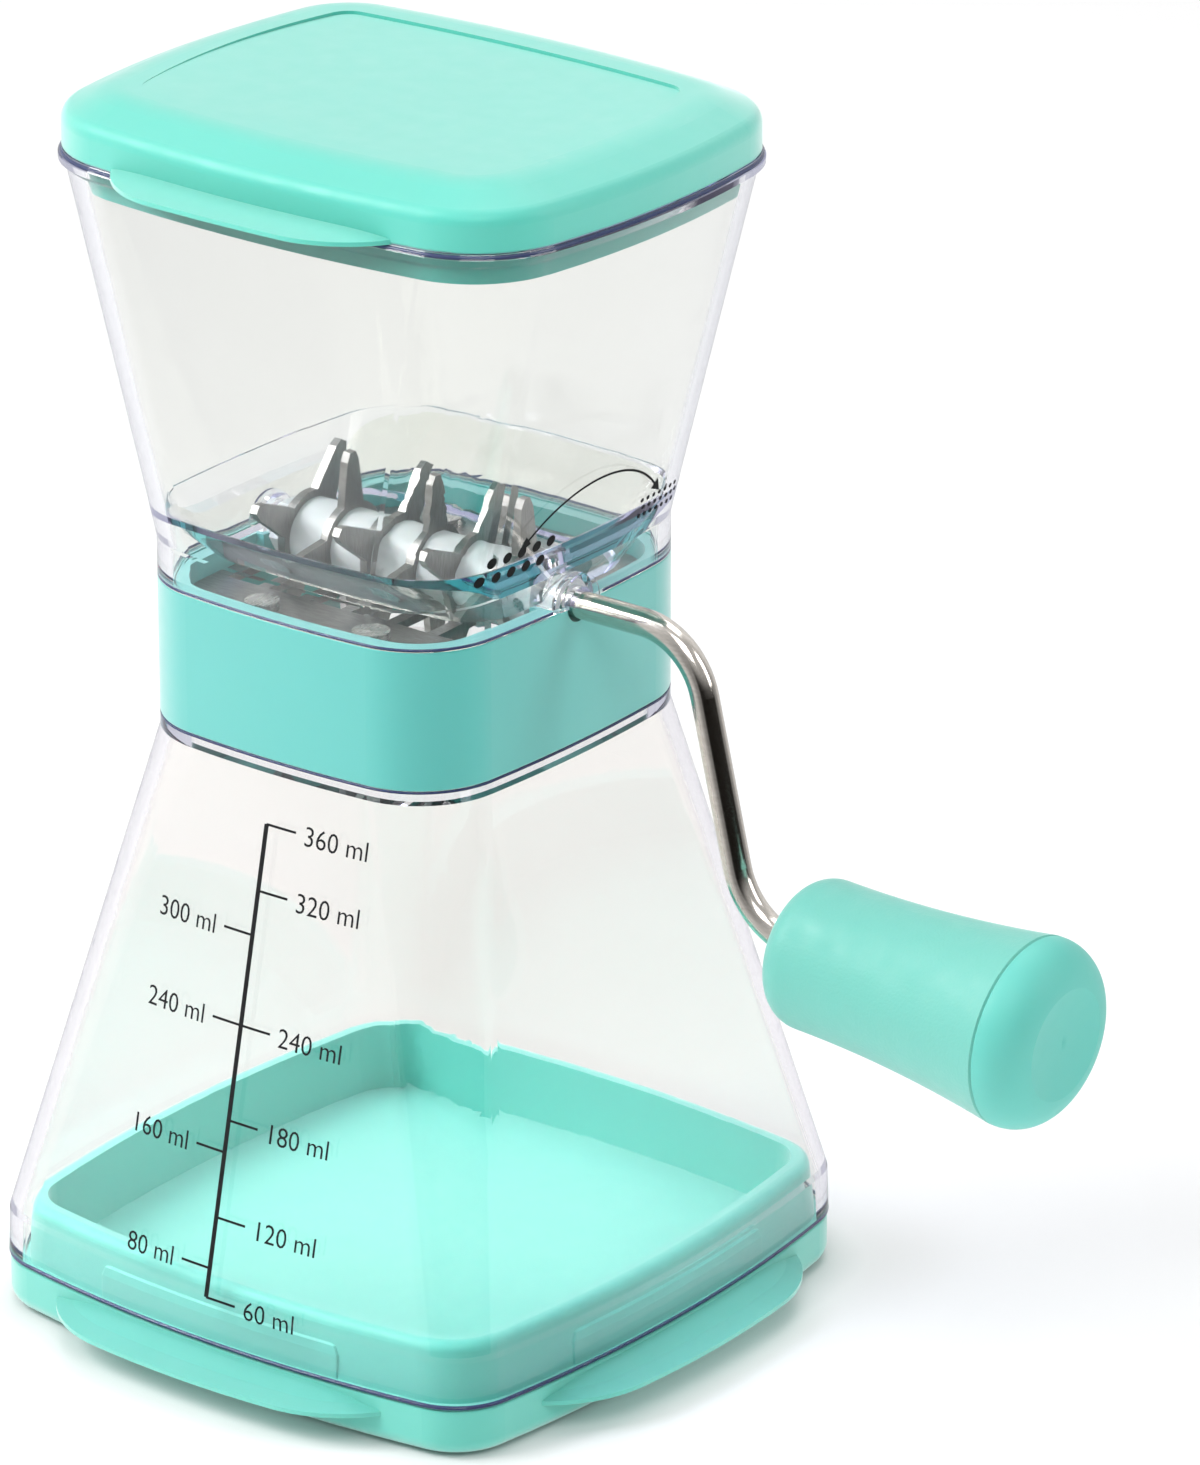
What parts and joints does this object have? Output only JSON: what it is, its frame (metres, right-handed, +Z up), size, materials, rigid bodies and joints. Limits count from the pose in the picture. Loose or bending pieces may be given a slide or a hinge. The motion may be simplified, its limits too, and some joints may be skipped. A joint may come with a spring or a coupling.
{
  "type": "nut chopper",
  "caption": "Hand-cranked nut chopper: a lidded clear hopper over a collar with a tined rotor between combs, above a clear tapered jar on a snap-in tray.",
  "frame": {"origin": "middle of the flat face of the foot pad, which the chopper stands on", "axes": "+Z up, +X along the shaft towards the crank, -Y towards the face with the measuring scale"},
  "size_m": [0.1571, 0.103, 0.1702],
  "materials": {
    "foot_rubber": "matt",
    "soft_turquoise": "soft satin",
    "turquoise_plastic": "satin",
    "lid_plastic": "satin",
    "clear_plastic": "clear, polished",
    "comb_steel": "stamped",
    "screw_steel": "bright",
    "bright_rod": "polished",
    "white_plastic": "satin",
    "bush_plastic": "natural"
  },
  "bodies": {
    "base": {"foot_pad": "foot_rubber", "base_cap": "soft_turquoise"},
    "jar": {"jar": "clear_plastic"},
    "head": {"collar": "turquoise_plastic", "hopper": "clear_plastic", "grinder_frame": "turquoise_plastic", "coarse_comb": "comb_steel", "fine_comb": "comb_steel", "comb_screws": "screw_steel", "frame_screws": "screw_steel", "shaft_bush_front": "bush_plastic", "shaft_bush_rear": "bush_plastic"},
    "lid": {"lid": "lid_plastic"},
    "crank": {"crank_rod": "bright_rod", "shaft_clip": "screw_steel", "rotor_hub": "white_plastic", "rotor_nut": "white_plastic", "drive_pin": "screw_steel", "grip_retainer": "screw_steel", "tine_plate_1": "comb_steel", "tine_plate_2": "comb_steel", "tine_plate_3": "comb_steel", "tine_plate_4": "comb_steel", "tine_plate_5": "comb_steel", "tine_plate_6": "comb_steel", "spacer_1": "white_plastic", "spacer_2": "white_plastic", "spacer_3": "white_plastic", "spacer_4": "white_plastic", "spacer_5": "white_plastic"},
    "grip": {"grip": "turquoise_plastic", "grip_cap": "turquoise_plastic"}
  },
  "joints": [
    {"name": "jar_lift", "type": "slide", "parent": "base", "child": "jar", "axis": [0, 0, 1], "range_m": [0, 0.06]},
    {"name": "head_lift", "type": "slide", "parent": "jar", "child": "head", "axis": [0, 0, 1], "range_m": [0, 0.05]},
    {"name": "lid_lift", "type": "slide", "parent": "head", "child": "lid", "axis": [0, 0, 1], "range_m": [0, 0.05]},
    {"name": "crank_turn", "type": "hinge", "parent": "head", "child": "crank", "pos_m": [0, 0, 0.1051], "axis": [1, 0, 0], "continuous": true},
    {"name": "grip_turn", "type": "hinge", "parent": "crank", "child": "grip", "pos_m": [0.05537, 0, 0.0665], "axis": [0.9983, 0, -0.0576], "continuous": true}
  ]
}
